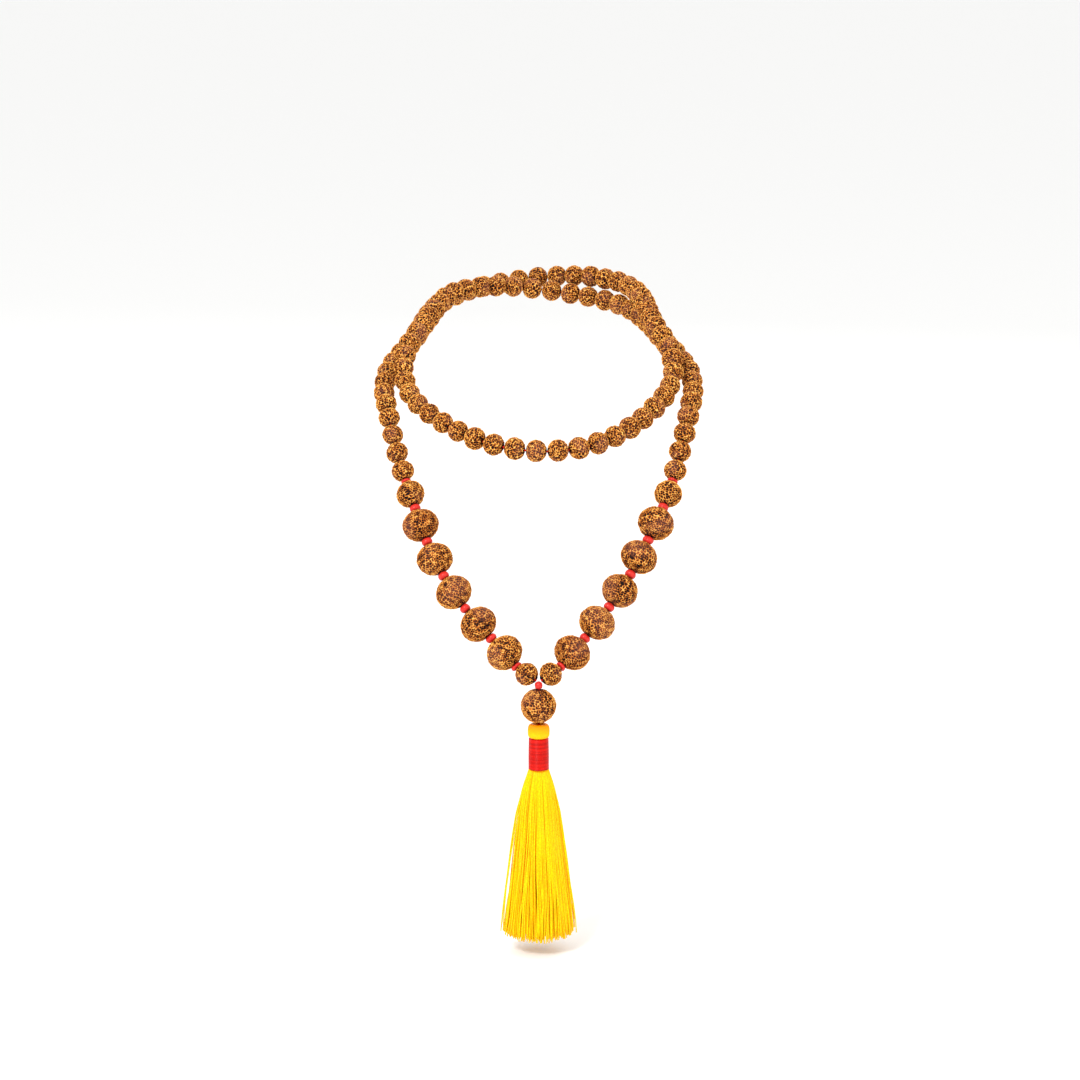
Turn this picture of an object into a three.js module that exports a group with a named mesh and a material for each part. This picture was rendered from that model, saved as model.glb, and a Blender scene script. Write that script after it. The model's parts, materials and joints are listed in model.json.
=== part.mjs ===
// Rudraksha mala prayer beads, worn doubled: a short loop round the throat and a long loop down to
// the guru bead and its tassel. It is one strand of 108 beads, wound twice, so that two stretches
// pass behind the nape and cross there.
//
// Units are millimetres, +Z is up, +X is to the right seen from the front, and the front is -Y.
// The origin is the point at the nape where the inner stretch rests on the neck.

import * as THREE from 'three';

// ---------------------------------------------------------------- driving dimensions

const PLAIN = { across: 8.0, along: 7.3, bore: 1.8 };
const SMALL = { across: 8.6, along: 7.8, bore: 2.2 };
const MEDIUM = { across: 9.9, along: 9.3, bore: 2.2 };
const LARGE = { across: 13.0, along: 11.3, bore: 2.2 };
const GURU = { across: 12.2, along: 12.0, bore: 2.2 };
const SPACER = { across: 4.0, along: 2.2, bore: 1.8 };
const THIN_SPACER = { across: 3.8, along: 1.1, bore: 1.8 };
const JUNCTION_BEAD = { across: 2.7, along: 2.0, bore: 1.5 };

const CORD_DIAMETER = 0.9;
const CORD_SIDES = 8;
const RUN_NECK = 0.3; // how far a run's beads stand out from their cord where two of them meet
const GAP = 0.3; // between a bead and the spacer beside it
const FLEX_GAP = 1.0; // where a loop folds forward, so that the beads beside the fold stay clear
const LEAD = 0.6; // bare cord from the junction to the first bead
const CORD_END_GAP = 0.35;
const CORD_START = 0.25;

const LARGE_PER_SIDE = 5;
const CHEST_SINGLES = 2; // plain beads above the medium bead that are nodes of their own
const CHEST_RUN = 4;
const NAPE_OUTER_BEADS = 33;
const NAPE_INNER_BEADS = 30;
const NAPE_RUNS = 4; // nodes that each nape stretch is split into
const THROAT_RUN = 6;
const THROAT_SINGLES = 3; // on each side of the front bead
const OUTER_EXCESS = 9.2; // the front bead lies this far past the strand's middle

const PENDANT_Y = -164.0;
const JUNCTION_Z = -117.0;
const GURU_Z = -124.6;
const HEAD = { top: -131.0, bottom: -135.9, topRadius: 3.2, radius: 3.8 };
const HEAD_SOCKET = { radius: 1.0, depth: 1.3 };
const PENDANT_CORD_REACH = 0.8; // past the junction bead's middle, and into the head's socket
const BINDING = { top: -136.2, bottom: -147.1, topRadius: 3.5, bottomRadius: 3.6, bulge: 0.05 };
const SKIRT_PIVOT_Z = -149.2;
const SKIRT_BOTTOM_Z = -208.5;
const SKIRT_DEPTH = 0.8; // depth over width

const PLAIN_SEGMENTS = 8;
const MEDIUM_SEGMENTS = 10;
const LARGE_SEGMENTS = 12;
const TASSEL_SEGMENTS = 16;

// ---------------------------------------------------------------- materials

const COLOURS = {
  rudraksha: 0xb4733a,
  coral: 0xe0322c,
  thread: 0xc9211b,
  silk: 0xf6cf10,
};

function material(name) {
  const roughness = { rudraksha: 0.8, coral: 0.35, thread: 0.7, silk: 0.6 }[name];
  return new THREE.MeshStandardMaterial({ name, color: COLOURS[name], roughness, metalness: 0 });
}

// ---------------------------------------------------------------- the strand's route

const leftChest = [
  [-0.6, -163.8, -115.5], [-4.5, -162.3, -114.0], [-11.7, -157.0, -107.2], [-21.5, -153.0, -97.4],
  [-30.3, -148.0, -87.3], [-36.8, -141.5, -76.7], [-41.9, -134.3, -66.0], [-45.6, -126.0, -56.8],
  [-50.9, -115.0, -43.3], [-54.4, -103.0, -31.0],
];
const leftShoulder = [
  [-56.5, -89.5, -25.3], [-55.4, -76.0, -20.6], [-52.2, -65.0, -17.0],
];
const napeOuter = [
  [-47.6, -55.0, -13.3], [-39.9, -19.6, -4.9], [-30.4, -3.8, -1.4], [-16.0, 7.5, 0.8],
  [0.0, 12.2, 2.6], [15.3, 6.2, 4.0], [28.5, -5.5, 3.9], [37.0, -21.0, 2.0], [43.5, -59.5, -6.4],
];
const rightThroat = [
  [48.4, -74.0, -12.6], [49.2, -87.0, -19.8], [45.4, -100.2, -26.0], [37.2, -111.8, -31.9],
  [27.4, -122.4, -36.5], [14.4, -129.8, -39.4],
];
const throatFront = [[0.0, -132.6, -40.0]];
const leftThroat = [
  [-15.8, -129.6, -38.2], [-28.6, -121.6, -34.9], [-39.0, -111.3, -30.4], [-46.6, -98.9, -25.4],
  [-49.4, -86.0, -18.8], [-48.6, -73.0, -12.3],
];
const napeInner = [
  [-43.2, -58.5, -6.5], [-34.1, -22.4, 0.5], [-24.6, -9.2, 1.4], [-12.0, 0.1, 0.8],
  [0.0, 4.0, -1.0], [12.7, 1.4, -2.4], [26.5, -7.5, -3.9], [37.0, -21.0, -6.4],
  [47.6, -55.0, -13.3],
];
const rightShoulder = [
  [52.2, -65.0, -17.0], [55.5, -76.0, -20.8], [56.4, -89.5, -25.2],
];
const rightChest = [
  [54.3, -103.0, -31.0], [50.7, -115.0, -43.3], [46.2, -125.5, -56.6], [41.8, -133.9, -65.0],
  [35.6, -140.5, -76.4], [28.9, -146.5, -87.0], [20.4, -151.5, -98.0], [11.5, -156.8, -107.5],
  [4.6, -162.3, -113.9], [0.6, -163.8, -115.5],
];
const ROUTE_POINTS = [
  leftChest, leftShoulder, napeOuter, rightThroat, throatFront, leftThroat, napeInner,
  rightShoulder, rightChest,
].flat();

const route = new THREE.CatmullRomCurve3(
  ROUTE_POINTS.map(([x, y, z]) => new THREE.Vector3(x, y, z)), false, 'centripetal',
);
route.arcLengthDivisions = 4000;
const ROUTE_LENGTH = route.getLength();
const FRAME_STEPS = 2000;
const frames = route.computeFrenetFrames(FRAME_STEPS, false);

const pointAt = (station) => route.getPointAt(station / ROUTE_LENGTH);

class RouteStretch extends THREE.Curve {
  constructor(start, end) {
    super();
    this.start = start;
    this.end = end;
  }

  getPoint(t) {
    return pointAt(THREE.MathUtils.lerp(this.start, this.end, t));
  }
}

// ---------------------------------------------------------------- shapes

// Points of a bead's outline from one pole to the other, as far out as `poleRadius` there.
function beadOutline({ across, along }, poleRadius, steps) {
  const radius = across / 2;
  const poleAngle = Math.asin(poleRadius / radius);
  const halfAxis = along / 2 / Math.cos(poleAngle);
  return Array.from({ length: steps + 1 }, (_, i) => {
    const angle = THREE.MathUtils.lerp(poleAngle, Math.PI - poleAngle, i / steps);
    return new THREE.Vector2(radius * Math.sin(angle), -halfAxis * Math.cos(angle));
  });
}

function boredBead(size, segments, steps) {
  const outline = beadOutline(size, size.bore / 2, steps);
  return new THREE.LatheGeometry([...outline, outline[0].clone()], segments);
}

// A stretch of beads fixed on their cord: lathed straight, then bent along the route. The outline has
// to rise from bead to bead, so the stations are put in rising order whichever way they were threaded.
function beadRun(threaded) {
  const stations = threaded.toSorted((a, b) => a - b);
  const start = stations[0] - PLAIN.along / 2 - CORD_END_GAP;
  const end = stations.at(-1) + PLAIN.along / 2;
  const cordRadius = CORD_DIAMETER / 2;
  const profile = [new THREE.Vector2(0, 0), new THREE.Vector2(cordRadius, 0)];
  for (const station of stations) {
    for (const p of beadOutline(PLAIN, cordRadius + RUN_NECK, 4)) {
      profile.push(new THREE.Vector2(p.x, p.y + station - start));
    }
  }
  profile.push(new THREE.Vector2(0, end - start));
  const geometry = new THREE.LatheGeometry(profile, PLAIN_SEGMENTS);
  const position = geometry.getAttribute('position');
  for (let i = 0; i < position.count; i += 1) {
    const station = start + position.getY(i);
    const frame = Math.round((station / ROUTE_LENGTH) * FRAME_STEPS);
    const bent = pointAt(station)
      .addScaledVector(frames.normals[frame], position.getX(i))
      .addScaledVector(frames.binormals[frame], -position.getZ(i));
    position.setXYZ(i, bent.x, bent.y, bent.z);
  }
  geometry.computeVertexNormals();
  return geometry;
}

function cord(path, steps) {
  const section = new THREE.Shape();
  const radius = CORD_DIAMETER / 2;
  for (let i = 0; i < CORD_SIDES; i += 1) {
    const angle = (i / CORD_SIDES) * 2 * Math.PI;
    section[i ? 'lineTo' : 'moveTo'](radius * Math.cos(angle), radius * Math.sin(angle));
  }
  section.closePath();
  return new THREE.ExtrudeGeometry(section, { steps, extrudePath: path, curveSegments: 1 });
}

// A turned piece of the tassel: (radius, z) pairs from top to bottom, about the pendant's line.
function turned(profile) {
  const points = profile.map(([radius, z]) => new THREE.Vector2(radius, z)).reverse();
  return new THREE.LatheGeometry(points, TASSEL_SEGMENTS)
    .rotateX(Math.PI / 2)
    .translate(0, PENDANT_Y, 0);
}

function tasselHead() {
  const { top, bottom, topRadius, radius } = HEAD;
  const socket = HEAD_SOCKET.radius;
  const socketFloor = top - HEAD_SOCKET.depth;
  return turned([
    [0, socketFloor], [socket, socketFloor], [socket, top], [topRadius - 0.9, top],
    [topRadius + 0.1, top - 0.8], [radius - 0.1, top - 2.4], [radius, bottom + 1.0],
    [radius - 0.7, bottom], [0, bottom],
  ]);
}

function tasselBinding() {
  const { top, bottom, topRadius, bottomRadius, bulge } = BINDING;
  const middle = Math.max(topRadius, bottomRadius) + bulge;
  return turned([
    [0, top], [topRadius, top], [middle, (top + bottom) / 2], [bottomRadius, bottom], [0, bottom],
  ]);
}

// The silk skirt's outer shape. Its top is a dome about the point that it swings on.
function tasselSkirt() {
  const domeRadius = BINDING.bottom - GAP - SKIRT_PIVOT_Z;
  const dome = [0, 25, 50, 75].map((degrees) => {
    const angle = THREE.MathUtils.degToRad(degrees);
    return [domeRadius * 1.6 * Math.sin(angle), SKIRT_PIVOT_Z + domeRadius * Math.cos(angle)];
  });
  const flare = [[4.6, -153.0], [6.6, -159.0], [8.0, -169.0], [9.6, -180.0], [11.3, -193.0],
    [12.4, SKIRT_BOTTOM_Z + 2.5], [9.5, SKIRT_BOTTOM_Z], [0, SKIRT_BOTTOM_Z]];
  const skirt = turned([...dome, ...flare]);
  return skirt.translate(0, -PENDANT_Y, 0).scale(1, SKIRT_DEPTH, 1).translate(0, PENDANT_Y, 0);
}

// ---------------------------------------------------------------- placing pieces

const group = new THREE.Group();

function add(name, geometry, look) {
  const mesh = new THREE.Mesh(geometry, material(look));
  mesh.name = name;
  group.add(mesh);
  return mesh;
}

// A bored bead threaded on the route: its bore is the chord between its two mouths.
function thread(name, size, station, look, segments = PLAIN_SEGMENTS, steps = 5) {
  const mesh = add(name, boredBead(size, segments, steps), look);
  const mouthA = pointAt(station - size.along / 2);
  const mouthB = pointAt(station + size.along / 2);
  mesh.position.addVectors(mouthA, mouthB).multiplyScalar(0.5);
  mesh.quaternion.setFromUnitVectors(new THREE.Vector3(0, 1, 0), mouthB.sub(mouthA).normalize());
}

// One side of the long loop's front, from the junction upwards. Returns where its plain beads begin,
// measured from the junction; `stationOf` turns that into a station on the route.
function threadChestSide(side, stationOf) {
  let reach = LEAD;
  let spacerNumber = 0;
  const put = (name, size, look, segments, steps) => {
    thread(name, size, stationOf(reach + size.along / 2), look, segments, steps);
    reach += size.along + GAP;
  };
  const putSpacer = (size) => {
    spacerNumber += 1;
    put(`red_spacer_${side}_${spacerNumber}`, size, 'coral', PLAIN_SEGMENTS, 4);
  };
  put(`small_bead_${side}`, SMALL, 'rudraksha', MEDIUM_SEGMENTS, 6);
  putSpacer(THIN_SPACER);
  for (let i = 1; i <= LARGE_PER_SIDE; i += 1) {
    put(`large_bead_${side}_${i}`, LARGE, 'rudraksha', LARGE_SEGMENTS, 7);
    putSpacer(SPACER);
  }
  put(`medium_bead_${side}`, MEDIUM, 'rudraksha', MEDIUM_SEGMENTS, 6);
  putSpacer(THIN_SPACER);
  return reach;
}

// Stations of plain beads that share a stretch equally. `flexAfter` lists how many beads come before
// each fold, where the cord is left bare for FLEX_GAP instead of the shared gap.
function shareOut(start, end, count, flexAfter) {
  const spare = end - start - count * PLAIN.along - flexAfter.length * FLEX_GAP;
  const gap = spare / (count - flexAfter.length);
  const stations = [];
  let station = start;
  for (let i = 0; i < count; i += 1) {
    stations.push(station + PLAIN.along / 2);
    station += PLAIN.along + (flexAfter.includes(i + 1) ? FLEX_GAP : gap);
  }
  return stations;
}

// ---------------------------------------------------------------- the two halves of the strand

// Each half runs from the junction up one side of the chest, round the nape, and down the other side
// of the throat to the front bead. `stationOf` turns a distance from the junction into a station.
function threadHalf({ chest, nape, throat, napeBeads, halfLength, stationOf }) {
  const reach = threadChestSide(chest, stationOf);
  const chestBeads = CHEST_SINGLES + CHEST_RUN;
  const beads = chestBeads + napeBeads + THROAT_RUN + THROAT_SINGLES;
  const stations = shareOut(
    reach, halfLength - PLAIN.along / 2, beads, [chestBeads, chestBeads + napeBeads],
  ).map(stationOf);
  const take = (count) => stations.splice(0, count);

  take(CHEST_SINGLES).forEach((station, i) => {
    thread(`chest_bead_${chest}_${i + 1}`, PLAIN, station, 'rudraksha');
  });
  const chestRun = take(CHEST_RUN);
  add(`chest_run_${chest}`, beadRun(chestRun), 'rudraksha');
  for (let i = 0; i < NAPE_RUNS; i += 1) {
    const count = Math.ceil((napeBeads - i) / NAPE_RUNS);
    add(`nape_${nape}_run_${i + 1}`, beadRun(take(count)), 'rudraksha');
  }
  const throatRun = take(THROAT_RUN);
  add(`throat_run_${throat}`, beadRun(throatRun), 'rudraksha');
  take(THROAT_SINGLES).forEach((station, i) => {
    thread(`throat_bead_${throat}_${THROAT_SINGLES - i}`, PLAIN, station, 'rudraksha');
  });

  const onward = Math.sign(stationOf(1) - stationOf(0));
  const clear = onward * (PLAIN.along / 2 + 2 * CORD_END_GAP);
  const chestCord = new RouteStretch(stationOf(CORD_START), chestRun[0] - clear);
  add(`long_loop_cord_${chest}`, cord(chestCord, 48), 'thread');
  return throatRun.at(-1) + clear;
}

const frontStation = ROUTE_LENGTH / 2 + OUTER_EXCESS;
const throatCordStart = threadHalf({
  chest: 'left', nape: 'outer', throat: 'right', napeBeads: NAPE_OUTER_BEADS,
  halfLength: frontStation, stationOf: (reach) => reach,
});
const throatCordEnd = threadHalf({
  chest: 'right', nape: 'inner', throat: 'left', napeBeads: NAPE_INNER_BEADS,
  halfLength: ROUTE_LENGTH - frontStation, stationOf: (reach) => ROUTE_LENGTH - reach,
});
thread('front_bead', PLAIN, frontStation, 'rudraksha');
add('short_loop_cord', cord(new RouteStretch(throatCordStart, throatCordEnd), 24), 'thread');

// ---------------------------------------------------------------- pendant and tassel

function hang(name, size, z, look, segments, steps) {
  const mesh = add(name, boredBead(size, segments, steps), look);
  mesh.rotation.x = Math.PI / 2;
  mesh.position.set(0, PENDANT_Y, z);
}

hang('junction_bead', JUNCTION_BEAD, JUNCTION_Z, 'coral', PLAIN_SEGMENTS, 4);
hang('guru_bead', GURU, GURU_Z, 'rudraksha', LARGE_SEGMENTS, 8);

const pendantTop = new THREE.Vector3(0, PENDANT_Y, JUNCTION_Z - PENDANT_CORD_REACH);
const pendantBottom = new THREE.Vector3(0, PENDANT_Y, HEAD.top - PENDANT_CORD_REACH);
add('pendant_cord', cord(new THREE.LineCurve3(pendantTop, pendantBottom), 1), 'thread');
add('tassel_head', tasselHead(), 'silk');
add('tassel_binding', tasselBinding(), 'thread');
add('tassel_skirt', tasselSkirt(), 'silk');

export default group;
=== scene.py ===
"""Rudraksha mala prayer beads, worn doubled round a neck, in metres and in the frame of the CAD."""

import json
import math

import bpy
import numpy as np
from mathutils import Euler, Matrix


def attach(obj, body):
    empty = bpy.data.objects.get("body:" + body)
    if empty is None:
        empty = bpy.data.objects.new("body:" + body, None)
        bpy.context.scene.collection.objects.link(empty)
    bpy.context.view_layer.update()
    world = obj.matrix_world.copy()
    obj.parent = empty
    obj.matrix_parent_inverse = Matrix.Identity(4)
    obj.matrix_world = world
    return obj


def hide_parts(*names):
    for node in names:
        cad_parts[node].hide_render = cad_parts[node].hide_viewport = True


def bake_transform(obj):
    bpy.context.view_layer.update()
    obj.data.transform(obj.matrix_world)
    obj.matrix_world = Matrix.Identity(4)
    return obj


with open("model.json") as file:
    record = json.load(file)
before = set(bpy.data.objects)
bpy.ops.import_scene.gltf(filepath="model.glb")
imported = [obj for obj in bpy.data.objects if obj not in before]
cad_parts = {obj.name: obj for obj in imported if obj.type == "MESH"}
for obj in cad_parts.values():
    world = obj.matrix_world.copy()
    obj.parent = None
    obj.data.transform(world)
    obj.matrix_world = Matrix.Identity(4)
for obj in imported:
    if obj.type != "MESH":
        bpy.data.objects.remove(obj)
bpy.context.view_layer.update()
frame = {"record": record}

MM = 0.001

# ---------------------------------------------------------------- driving dimensions, in millimetres

PLAIN = {"across": 8.0, "along": 7.3, "bore": 1.8}
SMALL = {"across": 8.6, "along": 7.8, "bore": 2.2}
MEDIUM = {"across": 9.9, "along": 9.3, "bore": 2.2}
LARGE = {"across": 13.0, "along": 11.3, "bore": 2.2}
GURU = {"across": 12.2, "along": 12.0, "bore": 2.2}
SPACER = {"across": 4.0, "along": 2.2, "bore": 1.2}
THIN_SPACER = {"across": 3.8, "along": 1.1, "bore": 1.2}
JUNCTION_BEAD = {"across": 2.7, "along": 2.0, "bore": 1.0}

CORD_DIAMETER = 0.9
GAP = 0.3
FLEX_GAP = 1.0
LEAD = 0.6
LARGE_PER_SIDE = 5
CHEST_SINGLES = 2
CHEST_RUN = 4
NAPE_OUTER_BEADS = 33
NAPE_INNER_BEADS = 30
NAPE_RUNS = 4
THROAT_RUN = 6
THROAT_SINGLES = 3
OUTER_EXCESS = 9.2

PENDANT_Y = -164.0
JUNCTION_Z = -117.0
GURU_Z = -124.6
HEAD_TOP, HEAD_BOTTOM = -131.0, -135.9
BINDING_TOP, BINDING_BOTTOM = -136.2, -147.1
SKIRT_TOP, SKIRT_BOTTOM = -147.5, -208.5
SKIRT_DEPTH = 0.8

# ---------------------------------------------------------------- camera

CAMERA_TILT = math.radians(12)
CAMERA_DISTANCE = 1.2
CAMERA_AIM = (0.00046, -0.1325, -0.072)
VIEW_WIDTH = 0.3833
SENSOR = 36.0


def add_camera():
    data = bpy.data.cameras.new("camera")
    data.sensor_width = SENSOR
    data.lens = SENSOR * CAMERA_DISTANCE / VIEW_WIDTH
    camera = bpy.data.objects.new("camera", data)
    back, rise = math.cos(CAMERA_TILT), math.sin(CAMERA_TILT)
    x, y, z = CAMERA_AIM
    camera.location = (x, y - CAMERA_DISTANCE * back, z + CAMERA_DISTANCE * rise)
    camera.rotation_euler = Euler((math.pi / 2 - CAMERA_TILT, 0, 0))
    bpy.context.scene.collection.objects.link(camera)
    bpy.context.scene.camera = camera


add_camera()

# ---------------------------------------------------------------- the strand's route

LEFT_CHEST = [
    (-0.6, -163.8, -115.5), (-4.5, -162.3, -114.0), (-11.7, -157.0, -107.2), (-21.5, -153.0, -97.4),
    (-30.3, -148.0, -87.3), (-36.8, -141.5, -76.7), (-41.9, -134.3, -66.0), (-45.6, -126.0, -56.8),
    (-50.9, -115.0, -43.3), (-54.4, -103.0, -31.0),
]
LEFT_SHOULDER = [(-56.5, -89.5, -25.3), (-55.4, -76.0, -20.6), (-52.2, -65.0, -17.0)]
NAPE_OUTER = [
    (-47.6, -55.0, -13.3), (-39.9, -19.6, -4.9), (-30.4, -3.8, -1.4), (-16.0, 7.5, 0.8),
    (0.0, 12.2, 2.6), (15.3, 6.2, 4.0), (28.5, -5.5, 3.9), (37.0, -21.0, 2.0), (43.5, -59.5, -6.4),
]
RIGHT_THROAT = [
    (48.4, -74.0, -12.6), (49.2, -87.0, -19.8), (45.4, -100.2, -26.0), (37.2, -111.8, -31.9),
    (27.4, -122.4, -36.5), (14.4, -129.8, -39.4),
]
THROAT_FRONT = [(0.0, -132.6, -40.0)]
LEFT_THROAT = [
    (-15.8, -129.6, -38.2), (-28.6, -121.6, -34.9), (-39.0, -111.3, -30.4), (-46.6, -98.9, -25.4),
    (-49.4, -86.0, -18.8), (-48.6, -73.0, -12.3),
]
NAPE_INNER = [
    (-43.2, -58.5, -6.5), (-34.1, -22.4, 0.5), (-24.6, -9.2, 1.4), (-12.0, 0.1, 0.8),
    (0.0, 4.0, -1.0), (12.7, 1.4, -2.4), (26.5, -7.5, -3.9), (37.0, -21.0, -6.4), (47.6, -55.0, -13.3),
]
RIGHT_SHOULDER = [(52.2, -65.0, -17.0), (55.5, -76.0, -20.8), (56.4, -89.5, -25.2)]
RIGHT_CHEST = [
    (54.3, -103.0, -31.0), (50.7, -115.0, -43.3), (46.2, -125.5, -56.6), (41.8, -133.9, -65.0),
    (35.6, -140.5, -76.4), (28.9, -146.5, -87.0), (20.4, -151.5, -98.0), (11.5, -156.8, -107.5),
    (4.6, -162.3, -113.9), (0.6, -163.8, -115.5),
]
ROUTE_POINTS = np.array(
    LEFT_CHEST + LEFT_SHOULDER + NAPE_OUTER + RIGHT_THROAT + THROAT_FRONT + LEFT_THROAT
    + NAPE_INNER + RIGHT_SHOULDER + RIGHT_CHEST
)


def centripetal_span(p0, p1, p2, p3, t):
    """Points at t on the centripetal Catmull-Rom span from p1 to p2."""
    d0, d1, d2 = (np.sqrt(np.linalg.norm(b - a)) for a, b in ((p0, p1), (p1, p2), (p2, p3)))
    m1 = ((p1 - p0) / d0 - (p2 - p0) / (d0 + d1) + (p2 - p1) / d1) * d1
    m2 = ((p2 - p1) / d1 - (p3 - p1) / (d1 + d2) + (p3 - p2) / d2) * d1
    t = t[:, None]
    cubic = 2 * p1 - 2 * p2 + m1 + m2
    square = -3 * p1 + 3 * p2 - 2 * m1 - m2
    return ((cubic * t + square) * t + m1) * t + p1


def sample_route(per_span=200):
    points = ROUTE_POINTS
    ends = np.vstack([2 * points[0] - points[1], points, 2 * points[-1] - points[-2]])
    steps = np.arange(per_span) / per_span
    spans = [centripetal_span(*ends[i:i + 4], steps) for i in range(len(points) - 1)]
    return np.vstack(spans + [points[-1:]])


ROUTE = sample_route()
ROUTE_STATIONS = np.concatenate([[0], np.cumsum(np.linalg.norm(np.diff(ROUTE, axis=0), axis=1))])
ROUTE_LENGTH = ROUTE_STATIONS[-1]


def point_at(station):
    """Millimetres along the strand to a point, or an array of them to points."""
    return np.stack([np.interp(station, ROUTE_STATIONS, ROUTE[:, k]) for k in range(3)], axis=-1)


# ---------------------------------------------------------------- where each bead sits on the strand


def lay_half(chest, nape, throat, nape_beads, half_length, station_of):
    """Beads of one half of the strand as (node, size, station), with the runs' beads under their run."""
    threaded = []
    reach = LEAD
    spacer = 0

    def put(node, size):
        nonlocal reach
        threaded.append((node, size, station_of(reach + size["along"] / 2)))
        reach += size["along"] + GAP

    def put_spacer(size):
        nonlocal spacer
        spacer += 1
        put(f"red_spacer_{chest}_{spacer}", size)

    put(f"small_bead_{chest}", SMALL)
    put_spacer(THIN_SPACER)
    for i in range(1, LARGE_PER_SIDE + 1):
        put(f"large_bead_{chest}_{i}", LARGE)
        put_spacer(SPACER)
    put(f"medium_bead_{chest}", MEDIUM)
    put_spacer(THIN_SPACER)

    nodes = [f"chest_bead_{chest}_{i + 1}" for i in range(CHEST_SINGLES)]
    nodes += [f"chest_run_{chest}"] * CHEST_RUN
    folds = [len(nodes), len(nodes) + nape_beads]
    for i in range(NAPE_RUNS):
        nodes += [f"nape_{nape}_run_{i + 1}"] * math.ceil((nape_beads - i) / NAPE_RUNS)
    nodes += [f"throat_run_{throat}"] * THROAT_RUN
    nodes += [f"throat_bead_{throat}_{THROAT_SINGLES - i}" for i in range(THROAT_SINGLES)]

    spare = half_length - PLAIN["along"] / 2 - reach
    spare -= len(nodes) * PLAIN["along"] + len(folds) * FLEX_GAP
    gap = spare / (len(nodes) - len(folds))
    fold_stations = []
    for i, node in enumerate(nodes, start=1):
        threaded.append((node, PLAIN, station_of(reach + PLAIN["along"] / 2)))
        reach += PLAIN["along"]
        if i in folds:
            fold_stations.append(station_of(reach + FLEX_GAP / 2))
        reach += FLEX_GAP if i in folds else gap
    return threaded, fold_stations


FRONT_STATION = ROUTE_LENGTH / 2 + OUTER_EXCESS
outer_half, outer_folds = lay_half(
    "left", "outer", "right", NAPE_OUTER_BEADS, FRONT_STATION, lambda reach: reach
)
inner_half, inner_folds = lay_half(
    "right", "inner", "left", NAPE_INNER_BEADS, ROUTE_LENGTH - FRONT_STATION,
    lambda reach: ROUTE_LENGTH - reach,
)
THREADED = outer_half + inner_half + [("front_bead", PLAIN, FRONT_STATION)]
BODY_OF = {node: body for body, nodes in frame["record"]["behaviour"]["bodies"].items() for node in nodes}

# ---------------------------------------------------------------- the seeds' relief, in millimetres

BROAD_SEED = 9  # mm across, and wider seeds have a finer grid and deeper relief
RIDGE_CELL = 0.82  # area in mm2 of the surface that each pit takes
RIDGE_WIDTH = 0.34
PIT_SPACING = 0.72  # the least distance between pits, as a share of a cell's side
PIT_DRIFT = 0.07
FURROW_WIDTH = 0.26
FURROW_DEPTH = 0.30  # as a share of the relief's depth
LUMP = 0.022  # how uneven a seed is, as a share of its radius
MOUTH_FADE = 0.22  # radians from a mouth over which the relief rises
PROUD = 0.68  # relief at this height lies on the CAD's surface, so the ridges stand a little proud
FOLD_NEIGHBOUR = 6.0  # mm from a fold to the middle of the bead beside it

# ---------------------------------------------------------------- meshes


def unit(vectors):
    return vectors / np.linalg.norm(vectors, axis=-1, keepdims=True)


def smooth_noise(points, frequency, rng, terms=9):
    """A smooth random field from about -1 to 1, the same for the same generator state."""
    waves = unit(rng.normal(size=(terms, 3))) * frequency * rng.uniform(0.7, 1.3, (terms, 1))
    return np.sin(points @ waves.T + rng.uniform(0, 2 * np.pi, terms)).sum(1) / math.sqrt(terms)


def grid_faces(rows, columns, closed_rows):
    """Quads of a grid that wraps round in its columns, and in its rows too where closed_rows."""
    row = np.arange(rows if closed_rows else rows - 1)[:, None]
    column = np.arange(columns)[None, :]
    up, beside = (row + 1) % rows, (column + 1) % columns
    corners = [row * columns + column, row * columns + beside, up * columns + beside, up * columns + column]
    return np.stack([np.broadcast_to(c, (row.size, columns)) for c in corners], axis=-1).reshape(-1, 4)


def make_piece(name, parts, material, body, nodes, attributes=()):
    """One object from (points in mm, quads, {attribute: values}) parts, riding on a body."""
    offsets = np.cumsum([0] + [len(points) for points, _, _ in parts[:-1]])
    points = np.vstack([p for p, _, _ in parts]) * MM
    faces = np.vstack([f + offset for (_, f, _), offset in zip(parts, offsets)])
    mesh = bpy.data.meshes.new(name)
    mesh.vertices.add(len(points))
    mesh.vertices.foreach_set("co", points.astype(np.float32).ravel())
    mesh.loops.add(faces.size)
    mesh.loops.foreach_set("vertex_index", faces.astype(np.int32).ravel())
    mesh.polygons.add(len(faces))
    mesh.polygons.foreach_set("loop_start", np.arange(0, faces.size, 4, dtype=np.int32))
    mesh.polygons.foreach_set("use_smooth", np.ones(len(faces), dtype=bool))
    mesh.update(calc_edges=True)
    for key in attributes:
        values = np.concatenate([extra[key] for _, _, extra in parts])
        layer = mesh.attributes.new(key, "FLOAT", "POINT")
        layer.data.foreach_set("value", values.astype(np.float32))
    mesh.materials.append(material)
    piece = bpy.data.objects.new(name, mesh)
    bpy.context.scene.collection.objects.link(piece)
    if body:
        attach(piece, body)
    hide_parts(*nodes)
    return piece


def bead_place(size, station):
    """A threaded bead's centre and bore direction: its bore is the chord between its mouths."""
    mouth_a = point_at(station - size["along"] / 2)
    mouth_b = point_at(station + size["along"] / 2)
    return (mouth_a + mouth_b) / 2, unit(mouth_b - mouth_a)


def place(local, centre, axis, spin):
    """Local points, whose third axis is the bore, turned by spin and moved to their place."""
    helper = np.array([0.0, 0.0, 1.0]) if abs(axis[2]) < 0.9 else np.array([1.0, 0.0, 0.0])
    side = unit(np.cross(helper, axis))
    front = np.cross(axis, side)
    across = math.cos(spin) * side + math.sin(spin) * front
    other = np.cross(axis, across)
    return centre + local @ np.stack([across, other, axis])


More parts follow.
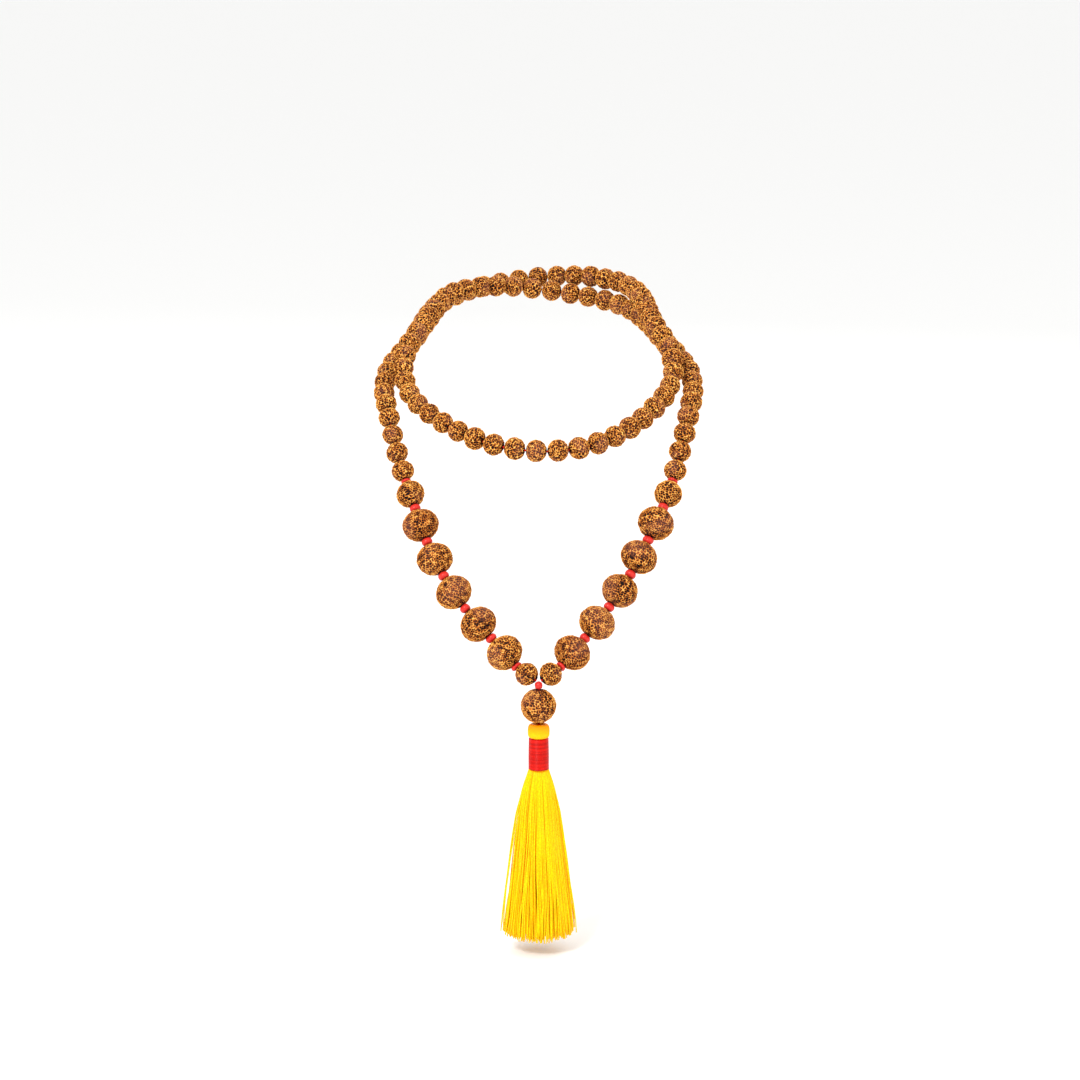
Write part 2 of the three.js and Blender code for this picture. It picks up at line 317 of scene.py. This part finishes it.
def bored_surface(size, rows, columns, bore_rows=5):
    """A bored ellipsoid as a closed grid: base points, outward normals, outer weight and quads."""
    radius, bore = size["across"] / 2, size["bore"] / 2
    pole = math.asin(bore / radius)
    half_axis = size["along"] / 2 / math.cos(pole)
    angle = np.linspace(pole, math.pi - pole, rows)
    outer = np.stack([radius * np.sin(angle), -half_axis * np.cos(angle)], axis=1)
    inside = np.linspace(size["along"] / 2, -size["along"] / 2, bore_rows + 2)[1:-1]
    inner = np.stack([np.full(bore_rows, bore), inside], axis=1)
    profile = np.vstack([outer, inner])
    turn = np.linspace(0, 2 * np.pi, columns, endpoint=False)
    ring = np.stack([np.cos(turn), np.sin(turn)], axis=1)
    across = profile[:, None, 0, None] * ring[None]
    along = np.broadcast_to(profile[:, None, 1, None], across.shape[:2] + (1,))
    points = np.concatenate([across, along], axis=2).reshape(-1, 3)
    from_mouth = np.minimum(angle - pole, math.pi - pole - angle)
    weight = np.concatenate([np.clip(from_mouth / MOUTH_FADE, 0, 1), np.zeros(bore_rows)])
    weight = np.repeat(weight, columns)
    normal = unit(points / np.array([radius, radius, half_axis]) ** 2)
    return points, normal, weight, grid_faces(rows + bore_rows, columns, True)


# ---------------------------------------------------------------- rudraksha beads


def seed_stone(size, rng, depth, furrows=5, brown=0.0, shy=False):
    """A rudraksha seed: a mesh of raised ridges over pits, with furrows from mouth to mouth.

    A shy one, beside a fold or a crossing, keeps all its relief inside the bead's outline.
    """
    rows, columns = (84, 140) if size["across"] > BROAD_SEED else (52, 96)
    points, normal, weight, faces = bored_surface(size, rows, columns)
    radius = size["across"] / 2
    direction = unit(points)
    drift = np.stack([smooth_noise(direction, 5.0, rng) for _ in range(3)], axis=1)
    warped = unit(direction + PIT_DRIFT * drift)

    count = int(4 * np.pi * radius ** 2 / RIDGE_CELL)
    pits = unit(rng.normal(size=(count * 3, 3)))
    kept = [pits[0]]
    spacing = math.cos(PIT_SPACING * math.sqrt(RIDGE_CELL) / radius)
    for pit in pits[1:]:
        if np.max(np.array(kept) @ pit) < spacing:
            kept.append(pit)
    nearness = np.partition(warped @ np.array(kept).T, -2, axis=1)[:, -2:]
    second, first = np.arccos(np.clip(nearness, -1, 1)).T * radius
    ridge = 1 - np.clip((second - first) / RIDGE_WIDTH, 0, 1)
    ridge = ridge * ridge * (3 - 2 * ridge)
    relief = 0.66 * ridge + 0.34 * (0.5 + 0.5 * smooth_noise(direction, 17.0, rng))
    low, high = np.percentile(relief[weight > 0], (4, 96))
    relief = np.clip((relief - low) / (high - low), 0, 1)

    turn = np.arctan2(direction[:, 1], direction[:, 0])
    ring = np.hypot(direction[:, 0], direction[:, 1])
    furrow = np.zeros(len(points))
    start = rng.uniform(0, 2 * np.pi)
    for i in range(furrows):
        middle = start + 2 * np.pi * (i + rng.uniform(-0.12, 0.12)) / furrows
        middle = middle + 0.16 * np.sin(3 * direction[:, 2] + rng.uniform(0, 6))
        apart = np.abs((turn - middle + np.pi) % (2 * np.pi) - np.pi) * ring * radius
        furrow = np.maximum(furrow, np.exp(-(apart / FURROW_WIDTH) ** 2))

    lump = LUMP * radius * smooth_noise(direction, 2.2, rng)
    if shy:
        lump = lump - LUMP * radius
    height = depth * (relief - (1.0 if shy else PROUD)) - FURROW_DEPTH * depth * furrow
    points = points + normal * ((height + lump) * weight)[:, None]
    outer = weight > 0
    relief = np.where(outer, np.clip(relief - 0.22 * furrow, 0, 1) * (0.35 + 0.65 * weight), 0.0)
    patch = 0.5 + 0.5 * smooth_noise(direction, 2.6, rng)
    tone = np.full(len(points), np.clip(rng.uniform(0, 0.6) + brown, 0, 1))
    return points, faces, {"relief": relief, "patch": np.clip(patch, 0, 1), "tone": tone}


def bead_part(node, size, station, rng):
    brown = 0.35 if size is LARGE else 0.0
    depth = 0.52 if size["across"] > BROAD_SEED else 0.46
    beside_fold = min(abs(station - fold) for fold in outer_folds + inner_folds) < FOLD_NEIGHBOUR
    shy = size is SMALL or beside_fold or node in ("chest_run_left", "throat_run_left")
    furrows = int(rng.integers(4, 7))
    points, faces, extra = seed_stone(size, rng, depth, furrows, brown, shy)
    centre, axis = bead_place(size, station)
    return place(points, centre, axis, rng.uniform(0, 2 * np.pi)), faces, extra


# ---------------------------------------------------------------- materials


def node_material(name):
    material = bpy.data.materials.new(name)
    material.use_nodes = True
    nodes, links = material.node_tree.nodes, material.node_tree.links
    shader = nodes["Principled BSDF"]
    return material, nodes, links, shader


def set_ramp(ramp, stops):
    elements = ramp.color_ramp.elements
    while len(elements) > 1:
        elements.remove(elements[-1])
    elements[0].position, elements[0].color = stops[0][0], (*stops[0][1], 1)
    for position, colour in stops[1:]:
        elements.new(position).color = (*colour, 1)


def noise_node(nodes, links, scale, detail=3.0):
    coordinates = nodes.new("ShaderNodeTexCoord")
    noise = nodes.new("ShaderNodeTexNoise")
    noise.inputs["Scale"].default_value = scale
    noise.inputs["Detail"].default_value = detail
    links.new(coordinates.outputs["Object"], noise.inputs["Vector"])
    return noise


def attribute_node(nodes, name):
    attribute = nodes.new("ShaderNodeAttribute")
    attribute.attribute_name = name
    return attribute.outputs["Fac"]


def mix_node(nodes, links, factor, a, b, kind="MIX"):
    mix = nodes.new("ShaderNodeMix")
    mix.data_type = "RGBA"
    mix.blend_type = kind
    for socket, value in ((mix.inputs[0], factor), (mix.inputs[6], a), (mix.inputs[7], b)):
        if isinstance(value, bpy.types.NodeSocket):
            links.new(value, socket)
        elif isinstance(value, tuple):
            socket.default_value = (*value, 1)
        else:
            socket.default_value = value
    return mix.outputs[2]


def bump_node(nodes, links, height, strength, distance):
    bump = nodes.new("ShaderNodeBump")
    bump.inputs["Strength"].default_value = strength
    bump.inputs["Distance"].default_value = distance
    links.new(height, bump.inputs["Height"])
    return bump.outputs["Normal"]


def rudraksha_material():
    material, nodes, links, shader = node_material("rudraksha")
    grain = noise_node(nodes, links, 2100, 5)
    height = nodes.new("ShaderNodeMath")
    height.operation = "MULTIPLY_ADD"
    links.new(grain.outputs["Fac"], height.inputs[0])
    height.inputs[1].default_value = 0.80
    links.new(attribute_node(nodes, "relief"), height.inputs[2])
    half = nodes.new("ShaderNodeMath")
    half.operation = "MULTIPLY"
    half.inputs[1].default_value = 0.5
    links.new(height.outputs[0], half.inputs[0])
    ramp = nodes.new("ShaderNodeValToRGB")
    set_ramp(ramp, [
        (0.27, (0.006, 0.001, 0.001)), (0.37, (0.10, 0.020, 0.002)),
        (0.48, (0.48, 0.130, 0.012)), (0.56, (0.94, 0.350, 0.045)), (0.63, (1.00, 0.64, 0.16)),
    ])
    links.new(half.outputs[0], ramp.inputs["Fac"])
    browner = mix_node(nodes, links, 0.8, ramp.outputs["Color"], (0.66, 0.50, 0.46), "MULTIPLY")
    toned = mix_node(nodes, links, attribute_node(nodes, "tone"), ramp.outputs["Color"], browner)
    pink = mix_node(nodes, links, 0.22, toned, (0.36, 0.13, 0.09))
    spread = nodes.new("ShaderNodeMapRange")
    spread.inputs["From Min"].default_value = 0.55
    spread.inputs["From Max"].default_value = 0.95
    links.new(attribute_node(nodes, "patch"), spread.inputs["Value"])
    links.new(mix_node(nodes, links, spread.outputs["Result"], toned, pink), shader.inputs["Base Color"])
    shader.inputs["Roughness"].default_value = 0.6
    shader.inputs["Specular IOR Level"].default_value = 0.12
    links.new(bump_node(nodes, links, grain.outputs["Fac"], 0.5, 0.00012), shader.inputs["Normal"])
    return material


def coral_material():
    material, nodes, links, shader = node_material("coral_bead")
    cloud = noise_node(nodes, links, 900)
    colour = mix_node(nodes, links, cloud.outputs["Fac"], (0.50, 0.010, 0.008), (0.78, 0.040, 0.026))
    links.new(colour, shader.inputs["Base Color"])
    shader.inputs["Roughness"].default_value = 0.33
    shader.inputs["Specular IOR Level"].default_value = 0.3
    links.new(bump_node(nodes, links, cloud.outputs["Fac"], 0.25, 0.00008), shader.inputs["Normal"])
    return material


def thread_material(name, dark, light, roughness, scale):
    material, nodes, links, shader = node_material(name)
    fibre = noise_node(nodes, links, scale, 2)
    colour = mix_node(nodes, links, fibre.outputs["Fac"], dark, light)
    # The shade attribute blends each point towards the dark colour, which paints shade into the thread's
    # colour
    shade = mix_node(nodes, links, attribute_node(nodes, "shade"), dark, colour)
    links.new(shade, shader.inputs["Base Color"])
    shader.inputs["Roughness"].default_value = roughness
    shader.inputs["Specular IOR Level"].default_value = 0.12
    links.new(bump_node(nodes, links, fibre.outputs["Fac"], 0.3, 0.00006), shader.inputs["Normal"])
    return material


RUDRAKSHA = rudraksha_material()
CORAL = coral_material()
# Each dark colour is the thread's painted shade, orange for the yellow silk; the fibre noise mixes it in
# too
RED_THREAD = thread_material("red_thread", (0.40, 0.002, 0.001), (0.98, 0.016, 0.006), 0.34, 2200)
YELLOW_SILK = thread_material("yellow_silk", (1.0, 0.30, 0.0), (1.0, 0.92, 0.0), 0.4, 1800)

# ---------------------------------------------------------------- bead pieces


def build_beads():
    by_node = {}
    for node, size, station in THREADED:
        by_node.setdefault(node, []).append((size, station))
    for number, (node, members) in enumerate(by_node.items()):
        rng = np.random.default_rng(1000 + number)
        if node.startswith("red_spacer"):
            parts = [spacer_part(size, station, rng) for size, station in members]
            make_piece(f"{node}_coral", parts, CORAL, BODY_OF[node], [node])
        else:
            parts = [bead_part(node, size, station, rng) for size, station in members]
            make_piece(f"{node}_seed", parts, RUDRAKSHA, BODY_OF[node], [node],
                       ("relief", "patch", "tone"))


BARREL = 0.62  # 1 is an ellipsoid, and less is squarer
CORAL_SPREAD = 0.5  # the chips reach most of the way across the gaps on both sides


def coral_surface(size, rng):
    """A coral chip rondelle: a rounded barrel, not quite round, and creased into two lobes on some."""
    size = {**size, "along": size["along"] + CORAL_SPREAD}
    points, normal, weight, faces = bored_surface(size, 26, 48, bore_rows=4)
    direction = unit(points)
    radius, bore = size["across"] / 2, size["bore"] / 2
    ring = np.hypot(points[:, 0], points[:, 1])
    swell = bore + (radius - bore) * np.clip((ring - bore) / (radius - bore), 0, 1) ** BARREL
    points[:, :2] *= (swell / ring)[:, None]
    lump = 0.07 * size["across"] / 2 * smooth_noise(direction, 2.4, rng)
    turn = np.arctan2(direction[:, 1], direction[:, 0]) - rng.uniform(0, 6)
    crease = rng.choice([0.0, 0.24, 0.32]) * np.exp(-(np.sin(turn) / 0.22) ** 2)
    return points + normal * ((lump - crease) * weight)[:, None], faces


def spacer_part(size, station, rng):
    points, faces = coral_surface(size, rng)
    centre, axis = bead_place(size, station)
    return place(points, centre, axis, rng.uniform(0, 2 * np.pi)), faces, {}


# ---------------------------------------------------------------- cords

PLIES = 3
PLY_PITCH = 2.6  # mm along the cord for one turn of its plies
CORD_NIB = 0.04  # mm by which a cord's blunt end runs past its path
CORD_STEP = 0.45
CORD_START = 0.25
FOLD_TAIL = 3.0
FOLD_OVERLAP = 0.1


def twisted_cord(path, radius, columns=18):
    """A tube along a path, with blunt ends and the relief of its twisted plies."""
    before = path[:1] + CORD_NIB * unit(path[0] - path[1])
    after = path[-1:] + CORD_NIB * unit(path[-1] - path[-2])
    path = np.vstack([before, path, after])
    tangent = unit(np.gradient(path, axis=0))
    normal = np.zeros_like(path)
    across = unit(np.cross(tangent[0], [0.31, 0.87, 0.38]))
    for i, along in enumerate(tangent):
        across = unit(across - along * (across @ along))
        normal[i] = across
    other = np.cross(tangent, normal)
    distance = np.concatenate([[0], np.cumsum(np.linalg.norm(np.diff(path, axis=0), axis=1))])
    turn = np.linspace(0, 2 * np.pi, columns, endpoint=False)
    ply = np.cos(PLIES * (turn[None] - 2 * np.pi * distance[:, None] / PLY_PITCH / PLIES))
    size = radius * (0.88 + 0.12 * ply)
    size[0] *= 0.05
    size[-1] *= 0.05
    ring = np.cos(turn)[None, :, None] * normal[:, None] + np.sin(turn)[None, :, None] * other[:, None]
    points = path[:, None] + size[..., None] * ring
    shade = 0.45 + 0.55 * (0.5 + 0.5 * ply)
    return points.reshape(-1, 3), grid_faces(len(path), columns, False), {"shade": shade.ravel()}


def strand_cord(name, start, end, nodes, body=None, blend=None):
    """The red cord between two stations. blend is (still body, moving body, fold station, onward); only
    whether it is given is read, and a cord given one rides on no body.
    """
    stations = np.linspace(start, end, max(8, int(abs(end - start) / CORD_STEP)))
    part = twisted_cord(point_at(stations), CORD_DIAMETER / 2)
    piece = make_piece(name, [part], RED_THREAD, body, nodes, ("shade",))
    if blend:
        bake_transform(piece)


def build_cords():
    """The strand's cord: along each nape stretch, along each loop's front, and bending at each fold."""
    left_long, right_short = outer_folds
    right_long, left_short = inner_folds
    start, end = CORD_START, ROUTE_LENGTH - CORD_START
    strand_cord("nape_outer_cord", left_long + FOLD_TAIL, right_short - FOLD_TAIL, [], "nape_strands")
    strand_cord("nape_inner_cord", left_short + FOLD_TAIL, right_long - FOLD_TAIL, [], "nape_strands")
    strand_cord("chest_cord_left", start, left_long - FOLD_TAIL, ["long_loop_cord_left"], "long_loop")
    strand_cord("chest_cord_right", right_long + FOLD_TAIL, end, ["long_loop_cord_right"], "long_loop")
    strand_cord("throat_cord", right_short + FOLD_TAIL, left_short - FOLD_TAIL, ["short_loop_cord"],
                "short_loop")
    for name, fold, loop, onward in (
        ("long_fold_left", left_long, "long_loop", -1), ("long_fold_right", right_long, "long_loop", 1),
        ("short_fold_right", right_short, "short_loop", 1),
        ("short_fold_left", left_short, "short_loop", -1),
    ):
        strand_cord(name, fold - FOLD_TAIL - FOLD_OVERLAP, fold + FOLD_TAIL + FOLD_OVERLAP, [],
                    blend=("nape_strands", loop, fold, onward))


# ---------------------------------------------------------------- pendant and tassel


def straight(top, bottom, steps):
    return np.stack([np.zeros(steps), np.full(steps, PENDANT_Y), np.linspace(top, bottom, steps)], axis=1)


def build_pendant():
    rng = np.random.default_rng(7)
    down = np.array([0.0, 0.0, -1.0])
    points, faces, extra = seed_stone(GURU, rng, 0.54, furrows=5, brown=0.3)
    guru = place(points, np.array([0.0, PENDANT_Y, GURU_Z]), down, 0.6)
    make_piece("guru_seed", [(guru, faces, extra)], RUDRAKSHA, "guru_bead", ["guru_bead"],
               ("relief", "patch", "tone"))
    points, faces = coral_surface(JUNCTION_BEAD, rng)
    junction = place(points, np.array([0.0, PENDANT_Y, JUNCTION_Z]), down, 0.0)
    make_piece("junction_coral", [(junction, faces, {})], CORAL, "pendant", ["junction_bead"])
    cord = twisted_cord(straight(JUNCTION_Z + 0.9, HEAD_TOP - 0.8, 40), CORD_DIAMETER / 2)
    make_piece("guru_cord", [cord], RED_THREAD, "pendant", ["pendant_cord"], ("shade",))


def turned(profile, columns, relief):
    """A turned closed form about the pendant's line. relief(turn, z) is added to its radius."""
    profile = np.array(profile)
    turn = np.linspace(0, 2 * np.pi, columns, endpoint=False)
    radius = profile[:, None, 0] + relief(turn[None], profile[:, None, 1]) * (profile[:, None, 0] > 0.3)
    x = radius * np.cos(turn)[None]
    y = PENDANT_Y + radius * np.sin(turn)[None]
    z = np.broadcast_to(profile[:, None, 1], x.shape)
    return np.stack([x, y, z], axis=-1).reshape(-1, 3), grid_faces(len(profile), columns, False)


HEAD_SQUARE = 0.62  # 1 is a round pillow, and less is squarer
HEAD_GROOVE = 0.06
HEAD_GROOVES = 64


def squarer(value):
    return np.sign(value) * np.abs(value) ** HEAD_SQUARE


def build_head():
    """Silk strands folded over the top in a rounded pillow, with a dimple where the cord goes in."""
    rng = np.random.default_rng(11)
    middle = (HEAD_TOP + HEAD_BOTTOM) / 2
    half = (HEAD_TOP - HEAD_BOTTOM) / 2
    angle = np.linspace(np.pi / 2, -np.pi / 2, 60)
    radius = 2.0 + 1.8 * squarer(np.cos(angle)) + 0.12 * np.sin(-angle)
    z = middle + half * squarer(np.sin(angle))
    dimple = [(0.02, HEAD_TOP - 1.4), (0.5, HEAD_TOP - 1.3), (0.9, HEAD_TOP - 0.9), (1.4, HEAD_TOP - 0.3)]
    profile = dimple + list(zip(radius, z)) + [(1.0, HEAD_BOTTOM), (0.02, HEAD_BOTTOM)]
    wander = rng.uniform(0, 6)

    def relief(turn, _z):
        return HEAD_GROOVE * np.sin(HEAD_GROOVES * turn + 0.6 * np.sin(3 * turn + wander))

    points, faces = turned(profile, 256, relief)
    # Painted shade: darker in the grooves between strands, near the axis in the dimple where the cord goes
    # in, and towards the top, where an orange painted shadow falls
    groove = relief(np.arctan2(points[:, 1] - PENDANT_Y, points[:, 0]), 0) / HEAD_GROOVE
    depth = np.clip((np.hypot(points[:, 0], points[:, 1] - PENDANT_Y) - 0.8) / 1.6, 0, 1)
    fold = np.clip((HEAD_TOP - 0.7 - points[:, 2]) / 2.4, 0, 1)
    shade = (0.62 + 0.24 * groove) * (0.1 + 0.9 * depth) * fold
    make_piece("silk_head", [(points, faces, {"shade": np.clip(shade, 0, 1)})], YELLOW_SILK,
               "tassel", ["tassel_head"], ("shade",))


WRAPS = 26
BINDING_RADIUS = 3.47
BINDING_FLARE = 0.10  # wider at the bottom by this much
BINDING_BULGE = 0.05
COIL = 0.11


def build_binding():
    """Thread wound in close turns, whose coils show as fine ridges."""
    steps = WRAPS * 8
    z = np.linspace(BINDING_TOP, BINDING_BOTTOM, steps)
    share = np.linspace(0, 1, steps)
    radius = BINDING_RADIUS + BINDING_FLARE * share + BINDING_BULGE * np.sin(np.pi * share)
    profile = [(0.02, BINDING_TOP)] + list(zip(radius, z)) + [(0.02, BINDING_BOTTOM)]
    pitch = (BINDING_TOP - BINDING_BOTTOM) / WRAPS

    def coil(turn, z):
        return COIL * (np.abs(np.cos(np.pi * (z / pitch + turn / (2 * np.pi)))) - 0.6)

    # The binding's shade is painted shade in the grooves between the coils, with some wraps darker at
    # random
    tones = np.random.default_rng(13).uniform(-0.9, 0.1, WRAPS + 2)
    points, faces = turned(profile, 96, coil)
    turn = np.arctan2(points[:, 1] - PENDANT_Y, points[:, 0])
    wrap = (BINDING_TOP - points[:, 2]) / pitch + turn / (2 * np.pi) + 0.5
    tone = np.interp(wrap, np.arange(WRAPS + 2), tones)
    shade = np.clip(0.7 + coil(turn, points[:, 2]) / COIL + tone, 0, 1)
    make_piece("thread_binding", [(points, faces, {"shade": shade})], RED_THREAD,
               "tassel", ["tassel_binding"], ("shade",))


SKIRT_PROFILE_Z = [-147.0, -149.5, -153.8, -162.3, -171.1, -179.6, -186.0, -196.0, -208.5]
SKIRT_PROFILE_R = [3.2, 4.1, 5.4, 6.9, 7.9, 8.9, 9.7, 11.0, 12.4]
STRANDS = 600
STRAND_RADIUS = 0.21
STRAND_SIDES = 6
LOCKS = 30
STRAYS = 22
COATS = (("silk_skirt_outer", 0.82, 1.0, 21), ("silk_skirt_inner", 0.10, 0.86, 22))


def skirt_strand(rng, share, turn, lock, stray=0.0):
    """One loose silk strand from the binding to the fringe, as a thin closed tube."""
    steps = 22
    bottom = SKIRT_BOTTOM + 0.1 + 4.2 * rng.uniform(0, 1) ** 1.6 + 1.3 * (share * math.cos(turn)) ** 2
    z = np.linspace(SKIRT_TOP + 0.8, bottom, steps)
    fall = (SKIRT_TOP - z) / (SKIRT_TOP - SKIRT_BOTTOM)
    out = np.interp(-z, [-v for v in SKIRT_PROFILE_Z], SKIRT_PROFILE_R) * share
    out = out + stray * np.sin(np.pi * np.clip(0.75 * fall, 0, 1)) * np.clip(4 * fall, 0, 1)
    angle = turn + fall * (0.05 * lock[0] + rng.uniform(-0.16, 0.16))
    wave = 0.24 * fall * np.sin(2 * np.pi * (1.2 * fall + lock[1]))
    wave = wave + 0.13 * fall * np.sin(2 * np.pi * (2.1 * fall + rng.uniform(0, 1)))
    x = out * np.cos(angle) + wave
    y = PENDANT_Y + SKIRT_DEPTH * out * np.sin(angle)
    points, faces, _ = twisted_cord(np.stack([x, y, z], axis=1), STRAND_RADIUS, STRAND_SIDES)
    # Painted shade: strands nearer the core are darker, in the orange shade colour; each strand and lock
    # also differs in tone at random, and each strand grows lighter from the binding down to the fringe
    shade = 0.62 + 0.34 * share + rng.uniform(-0.22, 0.10) + 0.13 * lock[2]
    rows = np.repeat(np.linspace(-0.06, 0.16, steps + 2), STRAND_SIDES)
    return points, faces, {"shade": np.clip(shade + rows, 0, 1)}


def build_skirt():
    """An outer coat and a core of strands, gathered in locks, with a few strays beside them."""
    for name, low, high, seed in COATS:
        rng = np.random.default_rng(seed)
        locks = rng.uniform(-1, 1, (LOCKS, 3))
        parts = []
        for i in range(STRANDS):
            turn = 2 * np.pi * (i + rng.uniform(0, 1)) / STRANDS
            lock = locks[int(turn / (2 * np.pi) * LOCKS) % LOCKS]
            share = math.sqrt(rng.uniform(low ** 2, high ** 2))
            parts.append(skirt_strand(rng, share, turn, lock))
        if high == 1.0:
            for i in range(STRAYS):
                turn = np.pi * (i % 2) + rng.uniform(-0.5, 0.5)
                parts.append(skirt_strand(rng, 1.0, turn, rng.uniform(-1, 1, 3), rng.uniform(0.3, 1.7)))
        skirt = make_piece(name, parts, YELLOW_SILK, None, ["tassel_skirt"], ("shade",))
        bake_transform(skirt)


# ---------------------------------------------------------------- floor and light

FLOOR_Z = -0.214
FLOOR_REACH = 60.0


def add_stage():
    mesh = bpy.data.meshes.new("floor")
    signs = ((-1, -1), (1, -1), (1, 1), (-1, 1))
    corners = [(x * FLOOR_REACH, y * FLOOR_REACH, FLOOR_Z) for x, y in signs]
    mesh.from_pydata(corners, [], [(0, 1, 2, 3)])
    material, _, _, shader = node_material("floor")
    shader.inputs["Base Color"].default_value = (0.93, 0.93, 0.92, 1)
    shader.inputs["Roughness"].default_value = 0.9
    mesh.materials.append(material)
    floor = bpy.data.objects.new("floor", mesh)
    bpy.context.scene.collection.objects.link(floor)


def add_light(name, location, energy, size):
    data = bpy.data.lights.new(name, "AREA")
    data.energy = energy
    data.size = size
    light = bpy.data.objects.new(name, data)
    light.location = location
    bpy.context.scene.collection.objects.link(light)
    target = np.array(CAMERA_AIM) - np.array(location)
    yaw = math.atan2(target[0], -target[1])
    pitch = math.atan2(math.hypot(target[0], target[1]), -target[2])
    light.rotation_euler = Euler((-pitch, 0, yaw))


def add_world():
    """Soft white light from all round, in the standard view, which keeps the coral and silk vivid."""
    world = bpy.data.worlds.new("studio")
    world.use_nodes = True
    background = world.node_tree.nodes["Background"]
    background.inputs["Color"].default_value = (1, 1, 1, 1)
    background.inputs["Strength"].default_value = 1.0
    bpy.context.scene.world = world
    bpy.context.scene.view_settings.view_transform = "Standard"


build_cords()
build_beads()
build_pendant()
build_head()
build_binding()
build_skirt()
add_stage()
add_world()
add_light("key", (-0.45, -1.0, 0.75), 10.5, 0.3)
add_light("fill", (0.8, -0.9, 0.25), 2.0, 0.8)
add_light("rim", (0.2, 0.8, 0.6), 3, 0.7)
